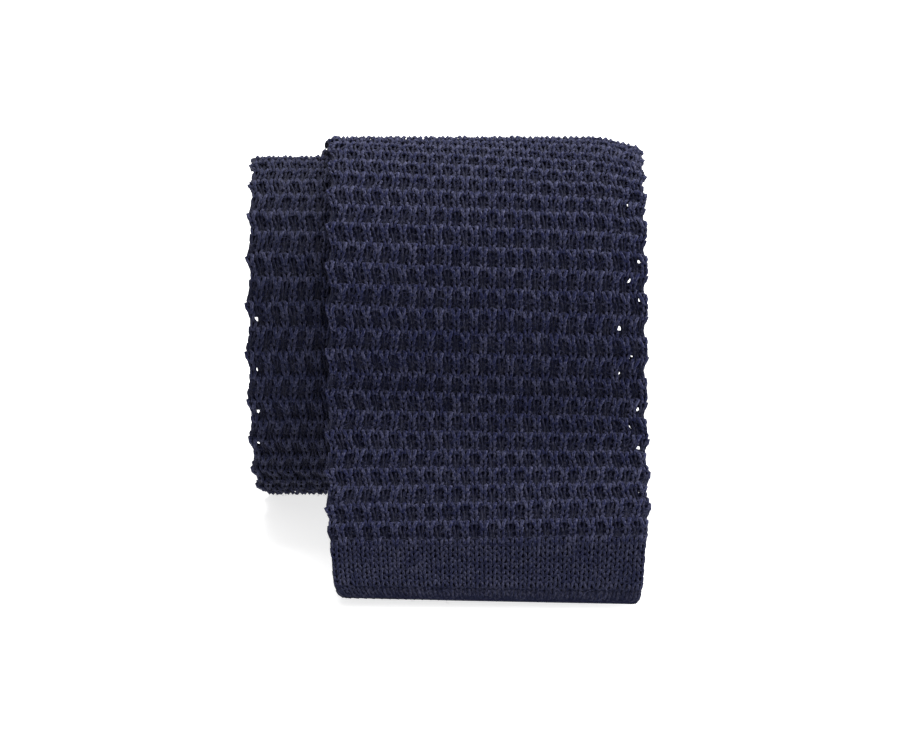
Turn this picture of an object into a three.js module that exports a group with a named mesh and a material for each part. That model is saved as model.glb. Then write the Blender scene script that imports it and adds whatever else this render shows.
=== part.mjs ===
import * as THREE from "three";

// A knit tie, folded in half at the neck and rolled up from the fold, lying on a table.
// Millimetres, +Z up. The roll's axis runs along X and its front is towards -Y. The wide half
// comes over the top, down the front and slopes out to its square end on the table. The narrow
// half is rolled up with it, one layer further in, and its end lies flat under the roll.

// The tie laid flat: widths across it, and the plain-knit band that ends it, which draws each
// edge in a little.
const BLADE_WIDTH = 60;
const TAIL_WIDTH = 50;
const NECK_WIDTH = 38;
const HEM_LENGTH = 13;
const HEM_DRAW_IN = 1.4;

// The knitted tube, pressed flat: two walls, the slit that is left between them, and the
// width of the rounded fold at each edge.
const WALL = 1;
const SLIT = 0.1;
const EDGE_ROUND = 0.9;

// Where the right edge starts to curl, as a share of half the width, and how high the rounded
// fold's own flat is, as a share of half the cloth.
const CURL_FROM = 0.74;
const EDGE_BROW = 0.45;

// The roll: the middle of the innermost layer from the axis, how many half turns the wide half
// makes before it leaves the roll at the front, the air between layers, and how much further
// the loose outermost turn stands off.
const FOLD_RADIUS = 4.7;
const HALF_TURNS = 11;
const TURN_GAP = 0.33;
const BLADE_SLACK = 1.4;

// The stretch of the tail that lies flat on the table behind the roll's foot, up to its band.
const TAIL_RUN = 17;

// How far the left corner of the blade's end stands off the table; the right one touches it.
const CORNER_LIFT = 1.2;

// Air between the knitted tube and each plain-knit band.
const PIECE_GAP = 0.3;

// Sections along the cloth.
const STEP = THREE.MathUtils.degToRad(15);
const FREE_END_STEPS = 9;
const FOLD_STEPS = 4;
const TAIL_RUN_STEPS = 3;
const WALK_STEPS = 200;

const NAVY = 0x2a2b42;
const YARN_ROUGHNESS = 0.9;

const THICKNESS = 2 * WALL + SLIT;
const PITCH = THICKNESS + TURN_GAP;
const HALF_CLOTH = THICKNESS / 2;
const BLADE_TURN = HALF_TURNS * Math.PI;
const TAIL_TURN = BLADE_TURN + Math.PI / 2;

// How the wide half lies in the roll, counted in turns inwards from where it leaves the front.
// taper goes from 0, the blade's width, to 1, the neck's. shift is the middle's place along X
// and curl is how far the right edge sinks towards the axis, as shares of the blade's width.
// slack is the share of BLADE_SLACK that the layer stands off.
const BLADE_ROWS = [
  { turnsIn: 0, taper: 0, shift: 0.118, curl: 0.008, slack: 1 },
  { turnsIn: 0.2, taper: 0, shift: 0.118, curl: 0.03, slack: 1 },
  { turnsIn: 0.3, taper: 0, shift: 0.11, curl: 0.034, slack: 0.9 },
  { turnsIn: 0.5, taper: 0.01, shift: 0.02, curl: 0.012, slack: 0.5 },
  { turnsIn: 0.65, taper: 0.03, shift: 0.02, curl: 0, slack: 0.2 },
  { turnsIn: 0.8, taper: 0.12, shift: 0.03, curl: 0, slack: 0 },
  { turnsIn: 1, taper: 0.22, shift: 0.04, curl: 0, slack: 0 },
  { turnsIn: 2, taper: 0.45, shift: 0.02, curl: 0, slack: 0 },
  { turnsIn: 4, taper: 0.85, shift: -0.01, curl: 0, slack: 0 },
  { turnsIn: 5.5, taper: 1, shift: -0.025, curl: 0, slack: 0 },
];

// How the narrow half lies, counted in turns inwards from where it meets the table. taper goes
// from 0, the tail's width, to 1, the neck's, and shift is as in the wide half.
const TAIL_ROWS = [
  { turnsIn: 0, taper: 0, shift: -0.165 },
  { turnsIn: 0.12, taper: 0, shift: -0.205 },
  { turnsIn: 0.25, taper: 0, shift: -0.217 },
  { turnsIn: 0.55, taper: 0, shift: -0.214 },
  { turnsIn: 0.75, taper: 0.04, shift: -0.15 },
  { turnsIn: 1, taper: 0.1, shift: -0.13 },
  { turnsIn: 2, taper: 0.3, shift: -0.085 },
  { turnsIn: 4, taper: 0.8, shift: -0.045 },
  { turnsIn: 5.75, taper: 1, shift: -0.025 },
];

// How steeply the blade's free end slopes down to the table, in degrees below level, along its
// left and right edges. along is the share of its length from the roll's front to its end.
const FREE_END_ROWS = [
  { along: 0, left: 90, right: 90 },
  { along: 0.06, left: 66, right: 62 },
  { along: 0.15, left: 46, right: 48 },
  { along: 0.3, left: 44, right: 43 },
  { along: 0.4, left: 39, right: 30 },
  { along: 0.5, left: 37, right: 26 },
  { along: 0.6, left: 41, right: 30 },
  { along: 0.7, left: 44, right: 42 },
  { along: 0.8, left: 42, right: 55 },
  { along: 0.9, left: 37, right: 51 },
  { along: 1, left: 34, right: 48 },
];

// The band along its length, from the tube to its round-cornered end. drawIn is how far each
// edge stands in from the tie's own, as a share of HEM_DRAW_IN.
const HEM_ROWS = [
  { along: 0, drawIn: 0.6 },
  { along: 0.2, drawIn: 1 },
  { along: 0.5, drawIn: 1 },
  { along: 0.84, drawIn: 1 },
  { along: 1, drawIn: 1.9 },
];

// A column of a table at a place between its rows, by straight lines.
function readRows(rows, key, place, column) {
  const after = rows.findIndex((row) => row[key] >= place);
  if (after === 0) return rows[0][column];
  if (after < 0) return rows[rows.length - 1][column];
  const low = rows[after - 1];
  const high = rows[after];
  const share = (place - low[key]) / (high[key] - low[key]);
  return THREE.MathUtils.lerp(low[column], high[column], share);
}

// The place and the facing of the cloth's middle, seen along X. facing is the angle of its
// outer side from +Y towards +Z.
function pose(y, z, facing) {
  return { y, z, facing };
}

// The place at a distance out from a pose.
function outFrom(at, out) {
  return { y: at.y + out * Math.cos(at.facing), z: at.z + out * Math.sin(at.facing) };
}

// The middle of a layer from the roll's axis. Both halves share one spiral, and the wide half is
// a layer further out than the narrow one.
function spiralRadius(turn, layersOut) {
  return FOLD_RADIUS + PITCH * (turn / Math.PI + layersOut);
}

const AXIS_HEIGHT = spiralRadius(TAIL_TURN, 0) + HALF_CLOTH;

// A section of the cloth: its poses at its left and right edges, its width, the place of its
// middle along X, and how far its right edge curls in.
function section(left, right, width, middle, curl) {
  return { left, right, width, middle, curl };
}

function bladeSection(turn) {
  const turnsIn = (BLADE_TURN - turn) / (2 * Math.PI);
  const read = (column) => readRows(BLADE_ROWS, "turnsIn", turnsIn, column);
  const radius = spiralRadius(turn, 1) + BLADE_SLACK * read("slack");
  const place = pose(radius * Math.cos(turn), AXIS_HEIGHT + radius * Math.sin(turn), turn);
  const width = THREE.MathUtils.lerp(BLADE_WIDTH, NECK_WIDTH, read("taper"));
  return section(place, place, width, BLADE_WIDTH * read("shift"), BLADE_WIDTH * read("curl"));
}

function tailSection(turn) {
  const turnsIn = (TAIL_TURN - turn) / (2 * Math.PI);
  const read = (column) => readRows(TAIL_ROWS, "turnsIn", turnsIn, column);
  const radius = spiralRadius(turn, 0);
  const height = AXIS_HEIGHT + radius * Math.sin(turn);
  const place = pose(radius * Math.cos(turn), height, turn - Math.PI);
  const width = THREE.MathUtils.lerp(TAIL_WIDTH, NECK_WIDTH, read("taper"));
  return section(place, place, width, BLADE_WIDTH * read("shift"), 0);
}

// The hairpin at the neck, where the narrow half turns back into the wide half.
function foldSections() {
  const bend = PITCH / 2;
  const middle = BLADE_WIDTH * BLADE_ROWS[BLADE_ROWS.length - 1].shift;
  const made = [];
  for (let i = 0; i <= FOLD_STEPS; i += 1) {
    const facing = -Math.PI * (1 - i / FOLD_STEPS);
    const y = FOLD_RADIUS + bend + bend * Math.cos(facing);
    const place = pose(y, AXIS_HEIGHT + bend * Math.sin(facing), facing);
    made.push(section(place, place, NECK_WIDTH, middle, 0));
  }
  return made;
}

// Turns from just past the fold to just short of where the roll is left, every STEP.
function gridTurns(lastTurn) {
  const turns = [];
  for (let turn = STEP / 2; turn < lastTurn - STEP / 4; turn += STEP) {
    turns.push(turn);
  }
  return turns;
}

// One edge of the free end: a walk down the slopes of a column, made as long as it has to be for
// the end's underside to come down to a height above the table.
function freeEndWalk(column, endHeight) {
  const shares = [];
  let run = 0;
  let fall = 0;
  for (let i = 0; i <= WALK_STEPS; i += 1) {
    const slope = THREE.MathUtils.degToRad(readRows(FREE_END_ROWS, "along", i / WALK_STEPS, column));
    shares.push({ run, fall, slope });
    run += Math.cos(slope) / WALK_STEPS;
    fall += Math.sin(slope) / WALK_STEPS;
  }
  const last = shares[WALK_STEPS];
  const length = (AXIS_HEIGHT - endHeight - HALF_CLOTH * Math.cos(last.slope)) / last.fall;
  const front = spiralRadius(BLADE_TURN, 1) + BLADE_SLACK;
  const at = (along) => {
    const step = shares[Math.round(along * WALK_STEPS)];
    const facing = BLADE_TURN - Math.PI / 2 + step.slope;
    return pose(-front - length * step.run, AXIS_HEIGHT - length * step.fall, facing);
  };
  return { length, at };
}

const LEFT_WALK = freeEndWalk("left", CORNER_LIFT);
const RIGHT_WALK = freeEndWalk("right", 0);
const FREE_LENGTH = (LEFT_WALK.length + RIGHT_WALK.length) / 2;

function freeSection(along, width) {
  const end = BLADE_ROWS[0];
  const curl = BLADE_WIDTH * end.curl * (1 - along);
  const middle = BLADE_WIDTH * end.shift;
  return section(LEFT_WALK.at(along), RIGHT_WALK.at(along), width, middle, curl);
}

// The stretch of the tail on the table, at a distance from where it meets the table.
function tailRunSection(distance, width) {
  const place = pose(distance, HALF_CLOTH, TAIL_TURN - Math.PI);
  return section(place, place, width, BLADE_WIDTH * TAIL_ROWS[0].shift, 0);
}

// The corners of the flattened tube's outside and inside, round a section. u runs across the
// tie from its middle and v through the cloth.
function sectionCorners(width) {
  const flat = width / 2 - EDGE_ROUND;
  const bend = CURL_FROM * flat;
  const brow = EDGE_BROW * HALF_CLOTH;
  const outside = [
    [-flat, -HALF_CLOTH],
    [bend, -HALF_CLOTH],
    [flat, -HALF_CLOTH],
    [flat + EDGE_ROUND, -brow],
    [flat + EDGE_ROUND, brow],
    [flat, HALF_CLOTH],
    [bend, HALF_CLOTH],
    [-flat, HALF_CLOTH],
    [-flat - EDGE_ROUND, brow],
    [-flat - EDGE_ROUND, -brow],
  ];
  const hollow = flat + EDGE_ROUND - WALL;
  const inside = [
    [-hollow, -SLIT / 2],
    [hollow, -SLIT / 2],
    [hollow, SLIT / 2],
    [-hollow, SLIT / 2],
  ];
  return { outside, inside, bend };
}

// Where a corner of a section is in space.
function placeCorner(cut, bend, [u, v]) {
  const share = u / cut.width + 0.5;
  const sunk = cut.curl * Math.max(0, (u - bend) / (cut.width / 2 - bend));
  const left = outFrom(cut.left, v - sunk);
  const right = outFrom(cut.right, v - sunk);
  const y = THREE.MathUtils.lerp(left.y, right.y, share);
  return [cut.middle + u, y, THREE.MathUtils.lerp(left.z, right.z, share)];
}

// A length of flattened knitted tube through its sections, open at both of its mouths.
function knitTube(cuts) {
  const { outside, inside } = sectionCorners(cuts[0].width);
  const ring = outside.length;
  const count = ring + inside.length;
  const positions = [];
  const index = [];
  for (const cut of cuts) {
    const corners = sectionCorners(cut.width);
    for (const corner of [...corners.outside, ...corners.inside]) {
      positions.push(...placeCorner(cut, corners.bend, corner));
    }
  }
  const addFace = (a, b, c, flip) => (flip ? index.push(a, c, b) : index.push(a, b, c));
  for (let i = 0; i + 1 < cuts.length; i += 1) {
    for (let j = 0; j < count; j += 1) {
      const isInside = j >= ring;
      const first = isInside ? ring : 0;
      const next = first + ((j - first + 1) % (isInside ? inside.length : ring));
      const here = i * count;
      const there = here + count;
      addFace(here + j, here + next, there + next, isInside);
      addFace(here + j, there + next, there + j, isInside);
    }
  }
  const contour = outside.map(([u, v]) => new THREE.Vector2(u, v));
  const hole = inside.map(([u, v]) => new THREE.Vector2(u, v));
  const lastRing = (cuts.length - 1) * count;
  for (const [a, b, c] of THREE.ShapeUtils.triangulateShape(contour, [hole])) {
    addFace(a, b, c, true);
    addFace(lastRing + a, lastRing + b, lastRing + c, false);
  }
  const geometry = new THREE.BufferGeometry();
  geometry.setAttribute("position", new THREE.Float32BufferAttribute(positions, 3));
  geometry.setIndex(index);
  geometry.computeVertexNormals();
  return geometry;
}

const yarn = new THREE.MeshStandardMaterial({
  name: "navy_yarn",
  color: NAVY,
  roughness: YARN_ROUGHNESS,
  metalness: 0,
});

function knitPiece(name, cuts) {
  const mesh = new THREE.Mesh(knitTube(cuts), yarn);
  mesh.name = name;
  return mesh;
}

// The tube runs from the tail's band, inwards along the spiral, through the fold and outwards
// again to the blade's band.
const TUBE_END = 1 - (HEM_LENGTH + PIECE_GAP) / FREE_LENGTH;
const tubeCuts = [];
for (let i = TAIL_RUN_STEPS; i >= 0; i -= 1) {
  tubeCuts.push(tailRunSection((TAIL_RUN * i) / TAIL_RUN_STEPS, TAIL_WIDTH));
}
tubeCuts.push(...gridTurns(TAIL_TURN).reverse().map(tailSection));
tubeCuts.push(...foldSections());
tubeCuts.push(...gridTurns(BLADE_TURN).map(bladeSection));
for (let i = 0; i <= FREE_END_STEPS; i += 1) {
  tubeCuts.push(freeSection((TUBE_END * i) / FREE_END_STEPS, BLADE_WIDTH));
}

// Each band goes from the tube to its own end.
const bladeHemCuts = [];
const tailHemCuts = [];
for (const { along, drawIn } of HEM_ROWS) {
  const narrowing = 2 * HEM_DRAW_IN * drawIn;
  const toEnd = HEM_LENGTH * (1 - along);
  const past = TAIL_RUN + PIECE_GAP + HEM_LENGTH * along;
  bladeHemCuts.push(freeSection(1 - toEnd / FREE_LENGTH, BLADE_WIDTH - narrowing));
  tailHemCuts.unshift(tailRunSection(past, TAIL_WIDTH - narrowing));
}

const tie = new THREE.Group();
tie.name = "knit_tie";
tie.add(knitPiece("knit_tube", tubeCuts));
tie.add(knitPiece("blade_hem", bladeHemCuts));
tie.add(knitPiece("tail_hem", tailHemCuts));

// The origin is under the middle of the whole, on the table.
const box = new THREE.Box3().setFromObject(tie);
const centre = box.getCenter(new THREE.Vector3());
tie.position.set(-centre.x, -centre.y, -box.min.z);

export default tie;
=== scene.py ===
# %% [markdown]
# A square-ended knit tie, folded in half at the neck and rolled up from the fold. The CAD frame
# gives its size and place, and this lesson dresses it stitch by stitch. A knit could be faked with
# a bump map on a smooth band, but at this distance every loop can be counted, so the loops are
# real tubes of yarn, laid by one formula along the same path as the CAD cloth.

# %% Load the frame
import math

import bpy
import numpy as np
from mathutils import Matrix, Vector


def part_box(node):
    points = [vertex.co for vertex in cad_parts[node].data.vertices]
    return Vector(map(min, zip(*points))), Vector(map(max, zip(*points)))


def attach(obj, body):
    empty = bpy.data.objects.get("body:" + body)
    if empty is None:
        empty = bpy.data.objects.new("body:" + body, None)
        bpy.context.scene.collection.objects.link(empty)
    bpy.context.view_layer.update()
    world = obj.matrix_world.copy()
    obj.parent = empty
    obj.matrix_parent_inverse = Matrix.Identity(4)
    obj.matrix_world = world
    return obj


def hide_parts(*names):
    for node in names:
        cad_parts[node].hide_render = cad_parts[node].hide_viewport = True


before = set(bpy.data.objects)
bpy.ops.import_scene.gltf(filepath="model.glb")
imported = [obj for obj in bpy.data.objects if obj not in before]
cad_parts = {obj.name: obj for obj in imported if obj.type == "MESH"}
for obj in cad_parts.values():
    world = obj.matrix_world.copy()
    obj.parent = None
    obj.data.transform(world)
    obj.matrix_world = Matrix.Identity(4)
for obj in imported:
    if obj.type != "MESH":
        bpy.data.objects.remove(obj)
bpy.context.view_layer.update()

scene = bpy.context.scene
bpy.ops.object.select_all(action="DESELECT")

# %% [markdown]
# The camera comes first. The photo looks straight at the roll's front from a little above: the CAD
# outline fits it best from 18 degrees up and 1.3 m away. The roll's axis sits a little above the
# middle of the picture, so the camera aims below it instead of using lens shift.

# %% Camera at the photo's angle
MM = 0.001
IMAGE_WIDTH, IMAGE_HEIGHT = 900, 737
PIXELS_PER_MM = 5.22
ELEVATION = math.radians(18)
DISTANCE = 1.3
ROLL_IN_IMAGE = (447, 319.5)
roll_centre = Vector((0, 18.2, 33.6)) * MM

towards_camera = Vector((0, -math.cos(ELEVATION), math.sin(ELEVATION)))
camera_up = Vector((0, math.sin(ELEVATION), math.cos(ELEVATION)))
aim = roll_centre
aim = aim + Vector((1, 0, 0)) * (IMAGE_WIDTH / 2 - ROLL_IN_IMAGE[0]) / PIXELS_PER_MM * MM
aim = aim - camera_up * (IMAGE_HEIGHT / 2 - ROLL_IN_IMAGE[1]) / PIXELS_PER_MM * MM
eye = roll_centre + towards_camera * DISTANCE

bpy.ops.object.camera_add(location=eye)
camera = bpy.context.object
camera.name = "photo_camera"
camera.rotation_euler = (aim - eye).to_track_quat("-Z", "Y").to_euler()
camera.data.sensor_width = 36
camera.data.lens = PIXELS_PER_MM * (DISTANCE / MM) / IMAGE_WIDTH * camera.data.sensor_width
camera.data.clip_start, camera.data.clip_end = 0.05, 20
scene.camera = camera
print("camera lens, mm:", round(camera.data.lens, 1))

# %% [markdown]
# Colours are written as sRGB hex values, as a picture editor shows them, and turned to the linear
# values that the shader wants in one place. One small function adds a node with its settings.

# %% Colour and node helpers
def linear(hex_code):
    values = [int(hex_code[i:i + 2], 16) / 255 for i in (1, 3, 5)]
    return (*[v / 12.92 if v <= 0.04045 else ((v + 0.055) / 1.055) ** 2.4 for v in values], 1)


def add_node(tree, kind, links=(), **settings):
    node = tree.nodes.new(kind)
    for key, value in settings.items():
        if key in node.inputs:
            node.inputs[key].default_value = value
        else:
            setattr(node, key, value)
    for socket, source in dict(links).items():
        tree.links.new(source, node.inputs[socket])
    return node


def new_material(name):
    material = bpy.data.materials.new(name)
    material.use_nodes = True
    material.node_tree.nodes.clear()
    return material, material.node_tree


print("navy, linear:", [round(v, 4) for v in linear("#2c2e46")])

# %% [markdown]
# The yarn is spun from short wool and cotton fibres and dyed before knitting, so no two
# millimetres are quite the same navy: that heather is a noise at fibre scale and a slower one at
# stitch scale. Two strands are fed side by side, so a groove runs along the front of every tube;
# its shade is painted into the colour, read from the yarn's own UV map, with a slanting wave of
# bump for their twist. Yarn deep in the cloth sees little light, more so than four-sided tubes can
# shade by themselves, so the colour also falls off with the depth that each point carries. Sheen
# gives the short fibres that stand off spun yarn, and the surface is rough and hardly shines, as
# matt wool and cotton are.
# The narrow half, the strip left of the blade, is a shade darker: it lies in the blade's shade,
# and its yarn is a darker copy of the navy, painted shade.

# %% Spun navy yarn
STRAND_TWIST_MM = 1.1
HEATHER_MM = 0.42
BLOTCH_MM = 2.6
BLOTCH_SHIFT = {"To Min": -0.15, "To Max": 0.15}
DARK_STOP, MID_STOP, LIGHT_STOP = 0.4, 0.5, 0.62
GROOVE_SHADE = {"From Min": 0, "From Max": 0.6, "To Min": 0.6, "To Max": 1}
DEPTH_SHADE = {"From Min": -0.5, "From Max": 0.6, "To Min": 0.35, "To Max": 1.28}
TWIST_DEEP_MM, FIBRES_DEEP_MM = 0.06, 0.08


def spun_yarn(name, dark, mid, light, twist_strength):
    material, tree = new_material(name)
    place = add_node(tree, "ShaderNodeTexCoord")
    heather = add_node(tree, "ShaderNodeTexNoise", {"Vector": place.outputs["Object"]},
                       Scale=1 / (HEATHER_MM * MM), Detail=2, Roughness=0.6)
    blotch = add_node(tree, "ShaderNodeTexNoise", {"Vector": place.outputs["Object"]},
                      Scale=1 / (BLOTCH_MM * MM), Detail=1, Roughness=0.5)
    blend = add_node(tree, "ShaderNodeMapRange", {"Value": blotch.outputs["Fac"]}, **BLOTCH_SHIFT)
    both = add_node(tree, "ShaderNodeMath", {0: heather.outputs["Fac"], 1: blend.outputs[0]},
                    operation="ADD")
    ramp = add_node(tree, "ShaderNodeValToRGB", {"Fac": both.outputs[0]})
    stops = ramp.color_ramp.elements
    stops[0].position, stops[0].color = DARK_STOP, linear(dark)
    stops[1].position, stops[1].color = LIGHT_STOP, linear(light)
    middle = stops.new(MID_STOP)
    middle.color = linear(mid)
    along = add_node(tree, "ShaderNodeUVMap", uv_map="yarn")
    twist = add_node(tree, "ShaderNodeTexWave", {"Vector": along.outputs["UV"]},
                     wave_type="BANDS", bands_direction="DIAGONAL", Scale=1 / STRAND_TWIST_MM,
                     Distortion=1.5, Detail=1)
    split = add_node(tree, "ShaderNodeSeparateXYZ", {"Vector": along.outputs["UV"]})
    around = add_node(tree, "ShaderNodeMath", {0: split.outputs["Y"]}, operation="MULTIPLY")
    around.inputs[1].default_value = 2 * math.pi
    wave = add_node(tree, "ShaderNodeMath", {0: around.outputs[0]}, operation="SINE")
    strand = add_node(tree, "ShaderNodeMath", {0: wave.outputs[0]}, operation="ABSOLUTE")
    # painted shade: the colour darkens in the groove between the two strands
    groove = add_node(tree, "ShaderNodeMapRange", {"Value": strand.outputs[0]}, **GROOVE_SHADE)
    out = add_node(tree, "ShaderNodeAttribute", attribute_name="out_mm")
    depth = add_node(tree, "ShaderNodeMapRange", {"Value": out.outputs["Fac"]}, **DEPTH_SHADE)
    shade = add_node(tree, "ShaderNodeMath", {0: groove.outputs[0], 1: depth.outputs[0]},
                     operation="MULTIPLY")
    colour = add_node(tree, "ShaderNodeVectorMath", {0: ramp.outputs["Color"],
                                                     "Scale": shade.outputs[0]}, operation="SCALE")
    bump = add_node(tree, "ShaderNodeBump", {"Height": twist.outputs["Fac"]},
                    Strength=twist_strength, Distance=TWIST_DEEP_MM * MM)
    fibres = add_node(tree, "ShaderNodeBump",
                      {"Height": heather.outputs["Fac"], "Normal": bump.outputs["Normal"]},
                      Strength=0.35, Distance=FIBRES_DEEP_MM * MM)
    shader = add_node(tree, "ShaderNodeBsdfPrincipled",
                      {"Base Color": colour.outputs[0], "Normal": fibres.outputs["Normal"]},
                      Roughness=0.88, IOR=1.5)
    shader.inputs["Specular IOR Level"].default_value = 0.1
    shader.inputs["Sheen Weight"].default_value = 0.12
    shader.inputs["Sheen Roughness"].default_value = 0.45
    shader.inputs["Sheen Tint"].default_value = linear("#9c9cb4")
    add_node(tree, "ShaderNodeOutputMaterial", {"Surface": shader.outputs["BSDF"]})
    return material


navy_yarn = spun_yarn("spun_navy_yarn", "#171a37", "#25283f", "#3f4056", 0.6)
# painted shade: a darker copy of the navy yarn for the narrow half, which lies in the blade's shade
narrow_yarn_painted_shade = spun_yarn("spun_navy_yarn_of_the_narrow_half_in_painted_shade", "#161930", "#202338", "#35364a", 0.6)
hem_yarn = spun_yarn("spun_navy_yarn_plain_knit", "#161932", "#202339", "#37384c", 0.6)
# painted shade: the ground is a darker copy of the navy yarn, for the depth it lies at
ground_yarn_painted_shade = spun_yarn("navy_yarn_behind_the_loops_in_painted_shade", "#12152f", "#171a33", "#1d203a", 0.0)
print("yarns:", [yarn.name for yarn in (navy_yarn, narrow_yarn_painted_shade, hem_yarn, ground_yarn_painted_shade)])

# %% [markdown]
# The cloth's path repeats the part's own sizes, because this file can't read that source. Each
# half of the tie is a list of stations from its square end up to the fold at the neck: how far
# along the cloth, where its middle is seen from the side, which way its outer side faces, how wide
# it is there and where its middle lies across. The two halves share one spiral.

# %% The tie's sizes, in millimetres
BLADE_WIDTH, TAIL_WIDTH, NECK_WIDTH = 60, 50, 38
HEM_LENGTH = 13
CLOTH, TURN_GAP, FOLD_RADIUS, HALF_TURNS = 2.1, 0.33, 4.7, 11
BLADE_SLACK, TAIL_RUN, CORNER_LIFT, PIECE_GAP = 1.4, 17, 1.2, 0.3
CURL_FROM = 0.74
PITCH = CLOTH + TURN_GAP
BLADE_TURN = HALF_TURNS * math.pi
TAIL_TURN = BLADE_TURN + math.pi / 2
AXIS_HEIGHT = FOLD_RADIUS + PITCH * TAIL_TURN / math.pi + CLOTH / 2

BLADE_ROWS = {
    "turns_in": (0, 0.2, 0.3, 0.5, 0.65, 0.8, 1, 2, 4, 5.5),
    "taper": (0, 0, 0, 0.01, 0.03, 0.12, 0.22, 0.45, 0.85, 1),
    "shift": (0.118, 0.118, 0.11, 0.02, 0.02, 0.03, 0.04, 0.02, -0.01, -0.025),
    "curl": (0.008, 0.03, 0.034, 0.012, 0, 0, 0, 0, 0, 0),
    "slack": (1, 1, 0.9, 0.5, 0.2, 0, 0, 0, 0, 0),
}
TAIL_ROWS = {
    "turns_in": (0, 0.12, 0.25, 0.55, 0.75, 1, 2, 4, 5.75),
    "taper": (0, 0, 0, 0, 0.04, 0.1, 0.3, 0.8, 1),
    "shift": (-0.165, -0.205, -0.217, -0.214, -0.15, -0.13, -0.085, -0.045, -0.025),
}
FREE_END_ROWS = {
    "along": (0, 0.06, 0.15, 0.3, 0.4, 0.5, 0.6, 0.7, 0.8, 0.9, 1),
    "left": (90, 66, 46, 44, 39, 37, 41, 44, 42, 37, 34),
    "right": (90, 62, 48, 43, 30, 26, 30, 42, 55, 51, 48),
}
print("roll's axis height, mm:", round(AXIS_HEIGHT, 2))


# %% The two halves of the path
def spiral_radius(turn, layers_out):
    return FOLD_RADIUS + PITCH * (turn / math.pi + layers_out)


def free_end_walk(side, end_height):
    share = np.linspace(0, 1, 201)
    slope = np.radians(np.interp(share, FREE_END_ROWS["along"], FREE_END_ROWS[side]))
    run = np.concatenate([[0], np.cumsum(np.cos(slope[:-1]))]) / 200
    fall = np.concatenate([[0], np.cumsum(np.sin(slope[:-1]))]) / 200
    length = (AXIS_HEIGHT - end_height - CLOTH / 2 * math.cos(slope[-1])) / fall[-1]
    front = spiral_radius(BLADE_TURN, 1) + BLADE_SLACK
    facing = BLADE_TURN - math.pi / 2 + slope
    return length, -front - length * run, AXIS_HEIGHT - length * fall, facing


def spiral_part(first_turn, rows, width, layers_out):
    turn = np.arange(first_turn, math.radians(2), -math.radians(3))
    turns_in = (first_turn - turn) / (2 * math.pi)
    read = {key: np.interp(turns_in, rows["turns_in"], rows[key]) for key in rows}
    radius = spiral_radius(turn, layers_out) + BLADE_SLACK * read.get("slack", 0)
    y, z = radius * np.cos(turn), AXIS_HEIGHT + radius * np.sin(turn)
    across = width + (NECK_WIDTH - width) * read["taper"]
    curl = BLADE_WIDTH * read.get("curl", 0 * turn)
    return [y, z, turn, y, z, turn, across, BLADE_WIDTH * read["shift"], curl]


def fold_part(side):
    bend = PITCH / 2
    degrees = np.arange(-10, -91, -10) if side > 0 else np.arange(-170, -89, 10)
    facing = np.radians(degrees)
    y, z = FOLD_RADIUS + bend + bend * np.cos(facing), AXIS_HEIGHT + bend * np.sin(facing)
    out = facing if side > 0 else facing + math.pi
    flat = np.ones(len(y))
    return [y, z, out, y, z, out, NECK_WIDTH * flat, BLADE_WIDTH * -0.025 * flat, 0 * flat]


def stations(parts):
    table = np.concatenate([np.array(part) for part in parts], axis=1)
    middle = (table[0:2] + table[3:5]) / 2
    step = np.hypot(*np.diff(middle, axis=1))
    return np.concatenate([[np.concatenate([[0], np.cumsum(step)])], table])


left_length, left_y, left_z, left_facing = free_end_walk("left", CORNER_LIFT)
right_length, right_y, right_z, right_facing = free_end_walk("right", 0)
FREE_LENGTH = (left_length + right_length) / 2
wide = BLADE_WIDTH * np.ones(201)
free_part = [left_y, left_z, left_facing, right_y, right_z, right_facing, wide,
             wide * BLADE_ROWS["shift"][0], wide * BLADE_ROWS["curl"][0] * np.linspace(1, 0, 201)]
free_part = [column[:0:-1] for column in free_part]

run_y = np.linspace(TAIL_RUN + PIECE_GAP + HEM_LENGTH, 0.5, 40)
run_flat = np.ones(40)
run_facing = TAIL_TURN * run_flat
run_part = [run_y, CLOTH / 2 * run_flat, run_facing, run_y, CLOTH / 2 * run_flat, run_facing,
            TAIL_WIDTH * run_flat, BLADE_WIDTH * TAIL_ROWS["shift"][0] * run_flat, 0 * run_flat]

blade = stations([free_part, spiral_part(BLADE_TURN, BLADE_ROWS, BLADE_WIDTH, 1), fold_part(1)])
tail = stations([run_part, spiral_part(TAIL_TURN, TAIL_ROWS, TAIL_WIDTH, 0), fold_part(-1)])
print("half lengths, mm:", round(blade[0, -1], 1), round(tail[0, -1], 1))

# %% [markdown]
# The part's origin is under the middle of its box, so the path moves by a fixed step to land on
# the CAD nodes. One function then puts any point of the cloth in space: s along it from the
# square end, u across it from its middle, v out from its middle sheet.

# %% From cloth to space
low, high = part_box("tail_hem")
TO_FRAME = np.array([(low.x + high.x) / 2 / MM - BLADE_WIDTH * TAIL_ROWS["shift"][0],
                     high.y / MM - (TAIL_RUN + PIECE_GAP + HEM_LENGTH), 0])


def on_cloth(path, s, u, v):
    ly, lz, lf, ry, rz, rf, width, middle, curl = (np.interp(s, path[0], row) for row in path[1:])
    bend = CURL_FROM * width / 2
    out = v - curl * np.maximum(0, (u - bend) / (width / 2 - bend))
    share = u / width + 0.5
    left = np.stack([ly + out * np.cos(lf), lz + out * np.sin(lf)])
    right = np.stack([ry + out * np.cos(rf), rz + out * np.sin(rf)])
    y, z = left + (right - left) * share
    return np.stack([middle + u, y, z], axis=-1) + TO_FRAME


print("path moved by, mm:", TO_FRAME.round(3))

# %% [markdown]
# The tie is knitted as a tube and pressed flat, so a course of stitches runs across the front,
# round the folded edge and back across the other side. Here that ring is measured in wales, the
# columns of stitches: 0 is the left edge, half the count is the right edge, and the rest is the
# back. The plain hem is drawn in a little at both edges, and the tuck stitch bulges at the edges
# every second ridge, which gives the tie its wavy outline. At the edges the loops stand out less
# than on the flat sides, because the yarn is pulled tight round the fold.

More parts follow.
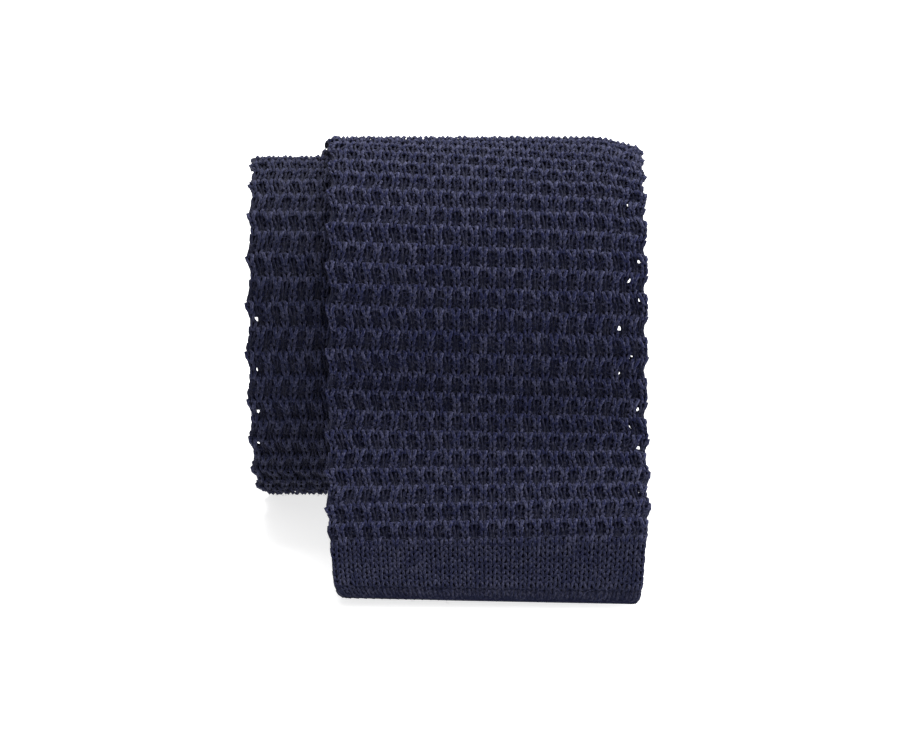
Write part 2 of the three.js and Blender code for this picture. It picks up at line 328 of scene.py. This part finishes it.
# %% The ring of wales
LOOP_PLANE = 0.6
LOOP_REACH = 0.5
EDGE_WAVE = 0.38
EDGE_CALM = 0.5
SQUARE_END = {"s": (0, 0.3, 0.8, 1.6, 4, 8, 12.5, 14),
              "in": (3.4, 2.5, 2.0, 1.6, 1.2, 0.85, 0.5, 0)}
HALVES = {
    "blade": dict(path=blade, wales=36, ridge=4.0, start=11.8, gaps_at=(
        (2.7, 35), (5.4, 35), (6.6, 34), (7.6, 35), (9.2, 33), (10, 34), (11.4, 33), (12.8, 35),
        (13.7, 34), (14.7, 35), (15.8, 34), (16.9, 35), (18, 34))),
    "tail": dict(path=tail, wales=32, ridge=4.55, start=11.65, gaps_at=(
        (10.7, 2), (11.6, 1), (13.3, 1), (15.2, 1), (17.3, 1))),
}


def half_width(half, s):
    width = np.interp(s, half["path"][0], half["path"][7]) / 2
    square_end = np.interp(s, SQUARE_END["s"], SQUARE_END["in"])
    bulge = np.cos(math.pi * (s - half["start"]) / half["ridge"])
    wave = EDGE_WAVE * np.clip((s - HEM_LENGTH) / 4, 0, 1) * bulge
    return width - square_end + wave


def ring_point(half, s, wale, lift):
    flat = half_width(half, s) - LOOP_REACH - LOOP_PLANE
    side = 2 * flat + math.pi * LOOP_PLANE
    along = np.mod(wale, 2 * half["wales"]) / half["wales"] * side
    back = along > side
    along = np.where(back, along - side, along)
    straight = np.clip(along - math.pi / 2 * LOOP_PLANE, 0, 2 * flat) - flat
    angle = np.where(straight <= -flat, math.pi - along / LOOP_PLANE,
                     np.where(straight >= flat, (side - along) / LOOP_PLANE, math.pi / 2))
    lift = lift * (1 - EDGE_CALM * np.abs(np.cos(angle)))
    u = straight + (LOOP_PLANE + lift) * np.cos(angle)
    v = (LOOP_PLANE + lift) * np.sin(angle)
    return np.where(back, -u, u), np.where(back, -v, v)


def in_space(half, s, wale, lift):
    return on_cloth(half["path"], s, *ring_point(half, s, wale, lift))


for name, half in HALVES.items():
    print(name, "ridges:", int((half["path"][0, -1] - half["start"]) / half["ridge"]))


# %% A mesh from arrays
def mesh_piece(name, points, quads, material, uv, out):
    mesh = bpy.data.meshes.new(name)
    mesh.vertices.add(len(points))
    mesh.vertices.foreach_set("co", (points * MM).astype(np.float32).ravel())
    mesh.loops.add(quads.size)
    mesh.loops.foreach_set("vertex_index", quads.astype(np.int32).ravel())
    mesh.polygons.add(len(quads))
    mesh.polygons.foreach_set("loop_start", np.arange(0, quads.size, 4, dtype=np.int32))
    mesh.polygons.foreach_set("use_smooth", np.ones(len(quads), dtype=bool))
    mesh.uv_layers.new(name="yarn").data.foreach_set("uv", uv.astype(np.float32).ravel())
    depth = mesh.attributes.new("out_mm", "FLOAT", "POINT")
    depth.data.foreach_set("value", out.astype(np.float32).ravel())
    mesh.update(calc_edges=True)
    mesh.validate()
    piece = bpy.data.objects.new(name, mesh)
    scene.collection.objects.link(piece)
    mesh.materials.append(material)
    print(name, "triangles:", 2 * len(quads))
    return piece


print("every piece carries the UV map yarn and the depth out_mm")

# %% [markdown]
# Tuck knitting pulls the cloth slightly askew: measured along the cloth, the ridges of the photo's
# blade lean more and more to the lower right as they go up the front. A ridge is therefore a
# slanting line across the cloth, and everything that follows the stitches reads the same lean.
# Near the edges the photo shows white specks, gaps that go through both plies: around each one the
# yarn is pushed aside here, and the ground below is cut open.

# %% Slanting ridges and small gaps
LEAN = {"s": (0, 20, 30, 42, 70, 85, 100, 130, 420),
        "lean": (0.01, 0.025, 0.015, -0.03, -0.036, -0.06, -0.14, -0.1, 0)}
LEAN_MIDDLE = -7
GAP_RADIUS, GAP_REACH, GAP_LENGTHENED, WALE_MM = 0.37, 0.8, 1.3, 1.6


def stitch_place(half, s, wale, lift):
    s, wale, lift = np.broadcast_arrays(s, wale, lift)
    turned = np.mod(wale, 2 * half["wales"])
    side = np.where(turned > half["wales"], -1, 1)
    front = np.where(turned > half["wales"], 2 * half["wales"] - turned, turned)
    for ridge, gap_wale in half["gaps_at"]:
        along = s - half["start"] - ridge * half["ridge"]
        across = (front - gap_wale) * WALE_MM
        square = (along / GAP_LENGTHENED) ** 2 + across ** 2 + 0.0001
        grown = np.sqrt(1 + GAP_RADIUS ** 2 * np.exp(-square / (2 * GAP_REACH ** 2)) / square) - 1
        s = s + along * grown
        wale = wale + side * across * grown / WALE_MM
    if half is HALVES["blade"]:
        u = ring_point(half, s, wale, 0)[0]
        s = s + np.interp(s, LEAN["s"], LEAN["lean"]) * (u - LEAN_MIDDLE)
    return in_space(half, np.maximum(s, 0), wale, lift)


print("most lean, degrees:", round(math.degrees(math.atan(max(map(abs, LEAN["lean"])))), 1))

# %% [markdown]
# Behind the visible loops of tuck stitch lie the feet and floats of the others, which are seen
# only as a dark ground between the loops. Modelling each of them would cost a million faces for
# shadow, so one thin dark band stands for them all: a flattened tube along the whole tie, from
# square end to square end. Its yarn is a darker copy of the navy, painted shade for the depth it
# lies at. Near the edges a few gaps go right through, as in the real knit. Inside the roll, where
# no loops are laid, the band takes their thickness, so little light shows between the turns.

# %% Rows of the ground
GROUND_LIFT, EDGE_LIFT = -0.5, 0.12
SHOWN_LENGTH, SHOWN_STEP, HIDDEN_STEP = 110, 1.3, 2.2
END_ROWS, FIRST_ROW, WELT_LENGTH = (0, 0.12, 0.4), 0.9, 2.1
WELT_LIFTS = (-0.4, -0.28, -0.24, -0.26, GROUND_LIFT)
GAP_HALF_S, GAP_HALF_WALE = 0.27, 0.15
FILL_FROM, FILL_OVER, FILL_WALES, FILL_LIFT = 262, 20, 4.5, 0.4
SIDE_CELLS = 36
ring_wales = np.concatenate([[0], np.arange(SIDE_CELLS) + 0.5, [SIDE_CELLS],
                             np.arange(SIDE_CELLS, 2 * SIDE_CELLS) + 0.5]) / (2 * SIDE_CELLS)
RING = len(ring_wales)


def ground_rows(half, ring_share):
    length = half["path"][0, -1]
    hidden_rows = int((length - SHOWN_LENGTH) / HIDDEN_STEP)
    rows = np.concatenate([END_ROWS, np.arange(FIRST_ROW, SHOWN_LENGTH, SHOWN_STEP),
                           np.linspace(SHOWN_LENGTH, length, hidden_rows)])
    s = np.repeat(rows[:, None], RING, axis=1)
    wale = np.repeat(ring_share[None] * 2 * half["wales"], len(rows), axis=0)
    lift = np.interp(s, (*END_ROWS, WELT_LENGTH, WELT_LENGTH + FIRST_ROW), WELT_LIFTS)
    lift[:, (0, RING // 2)] = np.maximum(lift[:, (0, RING // 2)], EDGE_LIFT)
    across = np.mod(wale, half["wales"])
    from_edge = np.minimum(across, half["wales"] - across)
    filled = np.clip((s - FILL_FROM) / FILL_OVER, 0, 1)
    filled = filled * np.clip((from_edge - FILL_WALES) / 2, 0, 1)
    lift = lift + (FILL_LIFT - GROUND_LIFT) * filled
    cells = []
    for ridge, gap_wale in half["gaps_at"]:
        middle = half["start"] + ridge * half["ridge"]
        row = int(np.searchsorted(rows, middle)) - 1
        for centre in (gap_wale, 2 * half["wales"] - gap_wale):
            column = int(np.argmin(np.abs((wale[row, :-1] + wale[row, 1:]) / 2 - centre)))
            turn = np.sign(wale[row, column + 1] - wale[row, column])
            s[row, column:column + 2] = middle - GAP_HALF_S
            s[row + 1, column:column + 2] = middle + GAP_HALF_S
            wale[row:row + 2, column] = centre - turn * GAP_HALF_WALE
            wale[row:row + 2, column + 1] = centre + turn * GAP_HALF_WALE
        cells.append((row, column))
    return cells, stitch_place(half, s, wale, lift)


blade_cells, blade_points = ground_rows(HALVES["blade"], ring_wales)
tail_cells, tail_points = ground_rows(HALVES["tail"], 1 - ring_wales)
ground_points = np.concatenate([blade_points, tail_points[::-1][1:]])
ground_index = np.arange(len(ground_points) * RING).reshape(-1, RING)
last_row = len(ground_points) - 1
cells = blade_cells + [(last_row - 1 - row, column) for row, column in tail_cells]
print("ground rows:", len(ground_points))

# %% The ground's walls, ends and gaps
after = np.roll(ground_index, -1, axis=1)
sides = np.stack([ground_index[:-1], ground_index[1:], after[1:], after[:-1]], axis=-1)
kept = np.ones(sides.shape[:2], dtype=bool)
through = []
for row, column in cells:
    kept[row, column] = kept[row, RING - 1 - column] = False
    near = sides[row, column]
    far = sides[row, RING - 1 - column][::-1]
    for corner in range(4):
        following = (corner + 1) % 4
        through.append([near[corner], near[following], far[following], far[corner]])
front = np.arange(1, RING // 2 - 1)
caps = [np.stack([ground_index[row, front], ground_index[row, front + 1],
                  ground_index[row, RING - 1 - front], ground_index[row, RING - front]], axis=-1)
        for row in (0, -1)]
ground_quads = np.concatenate([sides[kept], np.array(through), caps[0][:, ::-1], caps[1]])
# painted shade: the ground's fixed depth of -0.2 darkens its colour further
ground = mesh_piece("tie_ground", ground_points.reshape(-1, 3), ground_quads, ground_yarn_painted_shade,
                    np.full((ground_quads.size, 2), 0.25), np.full(ground_points.shape[:2], -0.2))
print("gaps right through:", len(cells))

# %% [markdown]
# A knitted loop is the same on its left and right, so one side of it says all: from its foot at
# the edge of the wale, in to the narrow neck, up the leg and out to the shoulder, and back to the
# head in the middle. Each row of the table says how far up the loop that is, how far out from the
# wale's middle, and how far out of the cloth. Only the legs come forward, because the next loop
# hides the head, which is why knitting looks like stacked letters V. In the tuck stitch every
# second wale holds its loop for two more courses, a long one with the other courses' yarn floating
# behind it, and the wales between them stack up in cups that stand out. The next ridge changes
# them over.

# %% One stitch, as wale, rise, lift and radius
LOOPS = {
    "plain": dict(up=(0, 0.14, 0.5, 0.86, 1), side=(0.5, 0.13, 0.26, 0.37, 0),
                  lift=(-0.25, 0.05, 0.15, 0.0, -0.3), rise=1.5, radius=0.28),
    "welt": dict(up=(0, 0.14, 0.5, 0.86, 1), side=(0.5, 0.17, 0.26, 0.33, 0),
                 lift=(-0.5, -0.36, -0.24, -0.32, -0.5), rise=1.5, radius=0.34),
    "ridge": dict(up=(0, 0.1, 0.5, 0.86, 1), side=(0.5, 0.12, 0.26, 0.38, 0),
                  lift=(-0.3, 0.25, 0.22, -0.2, -0.5), rise=1.5, radius=0.3),
    "dim": dict(up=(0, 0.14, 0.5, 0.86, 1), side=(0.5, 0.15, 0.24, 0.33, 0),
                lift=(-0.5, -0.22, 0.06, 0.05, -0.45), rise=1.5, radius=0.29),
    "cup": dict(up=(0, 0.1, 0.5, 0.86, 1), side=(0.5, 0.1, 0.27, 0.42, 0),
                lift=(-0.3, 0.12, 0.48, 0.42, -0.45), rise=1.6, radius=0.35),
    "long": dict(up=(0, 0.03, 0.12, 0.25, 0.5, 0.72, 0.93, 1),
                 side=(0.5, 0.12, 0.24, 0.15, 0.16, 0.25, 0.34, 0),
                 lift=(-0.3, 0.2, 0.08, -0.5, -0.48, -0.2, 0.0, -0.3), rise=3.5, radius=0.24),
    "float": dict(up=(0, 1), side=(0.5, 0), lift=(-0.45, -0.6), rise=0.3, radius=0.18),
}


def stitch(kind, gap):
    loop = LOOPS[kind]
    up = np.array(loop["up"] + loop["up"][-2:0:-1])
    side = np.array(loop["side"] + tuple(-x for x in loop["side"][-2:0:-1]))
    lift = np.array(loop["lift"] + loop["lift"][-2:0:-1])
    radius = np.full(len(up), loop["radius"])
    return np.stack([0.5 - side, loop["rise"] * gap * up, lift, up, radius])


def course_shape(kinds, gap):
    parts = [stitch(kind, gap) for kind in kinds]
    for column, part in enumerate(parts):
        part[0] += column
    columns = [column for column, part in enumerate(parts) for point in range(part.shape[1])]
    last = parts[-1][:, :1].copy()
    last[0] = len(kinds)
    return np.concatenate(parts + [last], axis=1), np.array(columns + columns[-1:])


print("points in a course of two wales:", course_shape(("cup", "long"), 1.3)[0].shape[1])

# %% [markdown]
# A tube of yarn has four sides and smooth shading: at this scale it reads as round, and the faces
# of some fifteen thousand loops stay affordable. On the back, under the free end and inside the
# roll three sides do. Each loop gets a small seeded change of height, lean and lift, because no
# machine pulls two stitches quite alike.

# %% Yarn tubes through many courses
chance = np.random.default_rng(7)
RISE_VARIES, LEAN_VARIES, LIFT_VARIES = 0.06, 0.06, 0.08


def yarn_tubes(half, first_wale, starts, kinds, gap, tube_sides=4):
    (wale, rise, lift, up, radius), column = course_shape(kinds, gap)
    vary = chance.normal(size=(3, len(starts), len(kinds)))[:, :, column]
    s = starts[:, None] + rise * (1 + RISE_VARIES * vary[0])
    across = first_wale + wale + LEAN_VARIES * up * vary[1]
    out = lift + LIFT_VARIES * up * vary[2]
    centre = stitch_place(half, s, across, out)
    normal = stitch_place(half, s, across, out + 0.1) - centre
    along = np.gradient(centre, axis=1)
    side = np.cross(along, normal)
    side /= np.linalg.norm(side, axis=-1, keepdims=True)
    normal = np.cross(side, along)
    normal /= np.linalg.norm(normal, axis=-1, keepdims=True)
    angle = np.arange(tube_sides) / tube_sides * 2 * math.pi
    ring = np.cos(angle)[:, None] * normal[:, :, None] + np.sin(angle)[:, None] * side[:, :, None]
    points = centre[:, :, None] + radius[:, None, None] * ring
    depth = out[:, :, None] + radius[:, None] * np.cos(angle)
    tubes, length = centre.shape[:2]
    index = np.arange(tubes * length * tube_sides).reshape(tubes, length, tube_sides)
    after = np.roll(index, -1, axis=2)
    quads = np.stack([index[:, :-1], after[:, :-1], after[:, 1:], index[:, 1:]], axis=-1)
    distance = np.cumsum(np.linalg.norm(along, axis=-1), axis=1)
    sides = np.arange(tube_sides + 1) / tube_sides
    uv = np.zeros(quads.shape + (2,))
    uv[..., 0:2, 0] = distance[:, :-1, None, None]
    uv[..., 2:4, 0] = distance[:, 1:, None, None]
    uv[..., (0, 3), 1] = sides[:-1, None]
    uv[..., (1, 2), 1] = sides[1:, None]
    return points.reshape(-1, 3), quads.reshape(-1, 4), uv.reshape(-1, 2), depth.ravel()


def yarn_piece(name, tubes, material):
    points, quads, uv, depth = zip(*tubes)
    offsets = np.cumsum([0] + [len(part) for part in points])
    quads = np.concatenate([part + offset for part, offset in zip(quads, offsets)])
    return mesh_piece(name, np.concatenate(points), quads, material, np.concatenate(uv),
                      np.concatenate(depth))


HEM_GAP = 1.2
WELT_STARTS = np.array([0.25, 1.2])
PLAIN_STARTS = 2.2 + np.arange(8) * HEM_GAP
RIDGE_COURSES = (("long", "ridge"), ("float", "dim"), ("float", "cup"))


def tuck_knit(half_name, first_ridge, last_ridge, first_wale, last_wale, tube_sides):
    half = HALVES[half_name]
    gap = half["ridge"] / 3
    tubes = []
    for parity in (0, 1):
        ridges = np.array([r for r in range(first_ridge, last_ridge) if r % 2 == parity])
        if len(ridges) == 0:
            continue
        held = [(w + parity) % 2 == 0 for w in range(first_wale, last_wale)]
        start = half["start"] + ridges * half["ridge"] - gap / 2
        for course, (other, usual) in enumerate(RIDGE_COURSES):
            kinds = [other if hold else usual for hold in held]
            tubes.append(yarn_tubes(half, first_wale, start + course * gap, kinds, gap, tube_sides))
    return tubes


def plain_knit(half_name, first_wale, last_wale):
    half, wales = HALVES[half_name], last_wale - first_wale
    welt = yarn_tubes(half, first_wale, WELT_STARTS, ["welt"] * wales, HEM_GAP)
    plain = yarn_tubes(half, first_wale, PLAIN_STARTS, ["plain"] * wales, HEM_GAP)
    return [welt, plain]


one_loop = yarn_tubes(HALVES["blade"], 0, np.array([20.0]), ["plain"], HEM_GAP)
print("triangles in one loop:", 2 * len(one_loop[1]))

# %% [markdown]
# Each stretch of the tie now gets its courses. Where both sides show, the yarn runs right round
# the tube; where the cloth lies between two others in the roll, only its edge is seen, so only the
# few wales round each edge are knitted. The table gives each stretch of a piece as its half, its
# first and last ridge, its first and last wale and the number of sides of its yarn.

# %% The knitted pieces
BLADE_RIDGES = int((blade[0, -1] - HALVES["blade"]["start"]) / HALVES["blade"]["ridge"])
TAIL_RIDGES = int((tail[0, -1] - HALVES["tail"]["start"]) / HALVES["tail"]["ridge"])
TUCK_PIECES = {
    "free_end_tuck_knit": [("blade", 0, 10, -2, 39, 4), ("blade", 0, 10, 39, 70, 3)],
    "front_tuck_knit": [("blade", 10, 27, 0, 39, 4), ("blade", 10, 27, 39, 44, 3)],
    "back_tuck_knit": [("blade", 27, 50, 0, 44, 3), ("blade", 50, 62, 16, 34, 3)],
    "tail_tuck_knit": [("tail", 0, 4, 31, 65, 4), ("tail", 4, 15, -5, 33, 4),
                       ("tail", 15, 39, -5, 11, 4)],
    "inner_right_edges": [("blade", 50, 80, 34, 41, 3), ("blade", 80, BLADE_RIDGES, 34, 39, 3),
                          ("tail", 39, TAIL_RIDGES, 31, 33, 3)],
    "inner_left_edges": [("blade", 50, BLADE_RIDGES, -1, 1, 3),
                         ("tail", 39, TAIL_RIDGES, -4, 2, 3)],
}
knitted = []
for name, stretches in TUCK_PIECES.items():
    tubes = [tube for stretch in stretches for tube in tuck_knit(*stretch)]
    knitted.append(yarn_piece(name, tubes, narrow_yarn_painted_shade if name == "tail_tuck_knit" else navy_yarn))
blade_hem_knit = yarn_piece("blade_hem_knit", plain_knit("blade", 0, 72), hem_yarn)
tail_hem_knit = yarn_piece("tail_hem_knit", plain_knit("tail", 31, 65), hem_yarn)

# %% [markdown]
# Short fibres stand off any spun yarn and blur its outline a little. They are thin curved ribbons
# scattered over the shown sides, each rising out of the knit, arching over and ending in the air.

# %% Stray fibres
FIBRE_WIDTH, FIBRE_STEPS, FIBRE_ROOT, FIBRE_ARCH = 0.035, 4, 0.35, 2.4
FIBRE_LEAST = {"turn": -3.1, "bend": -1.4, "length": 0.7, "rise": 0.3}
FIBRE_MOST = {"turn": 3.1, "bend": 1.4, "length": 2.2, "rise": 0.75}


def stray_fibres(half_name, count, first_s, last_s, first_wale, last_wale):
    half = HALVES[half_name]
    start_s = chance.uniform(first_s, last_s, (count, 1))
    start_wale = chance.uniform(first_wale, last_wale, (count, 1))
    least, most = list(FIBRE_LEAST.values()), list(FIBRE_MOST.values())
    turn, bend, length, rise = chance.uniform(least, most, (count, 4)).T
    share = np.linspace(0, 1, FIBRE_STEPS)
    heading = turn[:, None] + bend[:, None] * share
    s = start_s + length[:, None] * share * np.cos(heading)
    wale = start_wale + length[:, None] * share * np.sin(heading) / WALE_MM
    lift = FIBRE_ROOT + rise[:, None] * np.sin(FIBRE_ARCH * share)
    points = stitch_place(half, s, wale, lift)
    along = np.gradient(points, axis=1)
    side = np.cross(along, stitch_place(half, s, wale, lift + 0.1) - points)
    side *= FIBRE_WIDTH / 2 / np.linalg.norm(side, axis=-1, keepdims=True)
    ribbon = np.stack([points - side, points + side], axis=2)
    index = np.arange(count * FIBRE_STEPS * 2).reshape(count, FIBRE_STEPS, 2)
    quads = np.stack([index[:, :-1, 0], index[:, :-1, 1], index[:, 1:, 1], index[:, 1:, 0]],
                     axis=-1).reshape(-1, 4)
    depth = np.repeat(lift[:, :, None], 2, axis=2)
    return ribbon.reshape(-1, 3), quads, np.full((quads.size, 2), 0.25), depth.ravel()


fuzz = yarn_piece("stray_fibres", [
    stray_fibres("blade", 2900, 1, 112, 0, 36),
    stray_fibres("blade", 1100, 112, 210, 0, 36),
    stray_fibres("blade", 300, 1, 50, 36, 72),
    stray_fibres("tail", 1000, 40, 190, -1, 11)], navy_yarn)

# %% [markdown]
# The stage is a plain pale floor that glows from within like a light table, so the shadow stays
# nearly as faint as in the photo. Above it is soft light: a wide lamp above, slightly behind and to
# the right, which lights the top of the roll most, and a pale sky that fills the front. The sky is
# brighter on the right, so the strip left of the blade lies in its soft shade as in the photo.

# %% Floor and light
FLOOR_GLOW = 0.75
LAMP_SIZE, LAMP_WATTS = 1.2, 33
SIDE_LAMP_SIZE, SIDE_LAMP_WATTS = 0.5, 3
SKY_SHADE = {"From Min": -0.7, "From Max": 1, "To Min": 0.2, "To Max": 0.95}
bpy.ops.object.select_all(action="DESELECT")
bpy.ops.mesh.primitive_plane_add(size=6, location=(0, 0, 0))
floor = bpy.context.object
floor.name = "pale_floor"
floor_paint, tree = new_material("matt_white_paper")
paper = add_node(tree, "ShaderNodeBsdfPrincipled", Roughness=0.9)
paper.inputs["Base Color"].default_value = linear("#c4c4c4")
paper.inputs["Emission Color"].default_value = (1, 1, 1, 1)
paper.inputs["Emission Strength"].default_value = FLOOR_GLOW
add_node(tree, "ShaderNodeOutputMaterial", {"Surface": paper.outputs["BSDF"]})
floor.data.materials.append(floor_paint)

world = bpy.data.worlds.new("pale_sky")
scene.world = world
world.use_nodes = True
world.node_tree.nodes["Background"].inputs["Color"].default_value = (1, 1, 1, 1)
sky = world.node_tree
direction = add_node(sky, "ShaderNodeTexCoord")
towards = add_node(sky, "ShaderNodeVectorMath", {0: direction.outputs["Generated"]},
                   operation="DOT_PRODUCT")
towards.inputs[1].default_value = (0.8, -0.1, 0.6)
strength = add_node(sky, "ShaderNodeMapRange", {"Value": towards.outputs["Value"]}, **SKY_SHADE)
sky.links.new(strength.outputs[0], sky.nodes["Background"].inputs["Strength"])
bpy.ops.object.light_add(type="AREA", location=(0.2, 0.5, 1.1))
lamp = bpy.context.object
lamp.name = "soft_lamp"
lamp.data.shape, lamp.data.size, lamp.data.energy = "SQUARE", LAMP_SIZE, LAMP_WATTS
lamp.rotation_euler = (roll_centre - lamp.location).to_track_quat("-Z", "Y").to_euler()
bpy.ops.object.light_add(type="AREA", location=(0.75, -0.5, 0.4))
side_lamp = bpy.context.object
side_lamp.name = "side_lamp"
side_lamp.data.shape = "SQUARE"
side_lamp.data.size, side_lamp.data.energy = SIDE_LAMP_SIZE, SIDE_LAMP_WATTS
side_lamp.rotation_euler = (roll_centre - side_lamp.location).to_track_quat("-Z", "Y").to_euler()
scene.view_settings.view_transform = "Standard"
print("lamp, W:", lamp.data.energy)

# %% [markdown]
# Every piece rides on the one body and stands for the CAD nodes under it, which are hidden. The
# ground runs along the tie's whole length.

# %% Hand the pieces to the frame
pieces = [ground, *knitted, blade_hem_knit, tail_hem_knit, fuzz]
for piece in pieces:
    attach(piece, "root")
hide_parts("knit_tube")
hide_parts("blade_hem")
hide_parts("tail_hem")
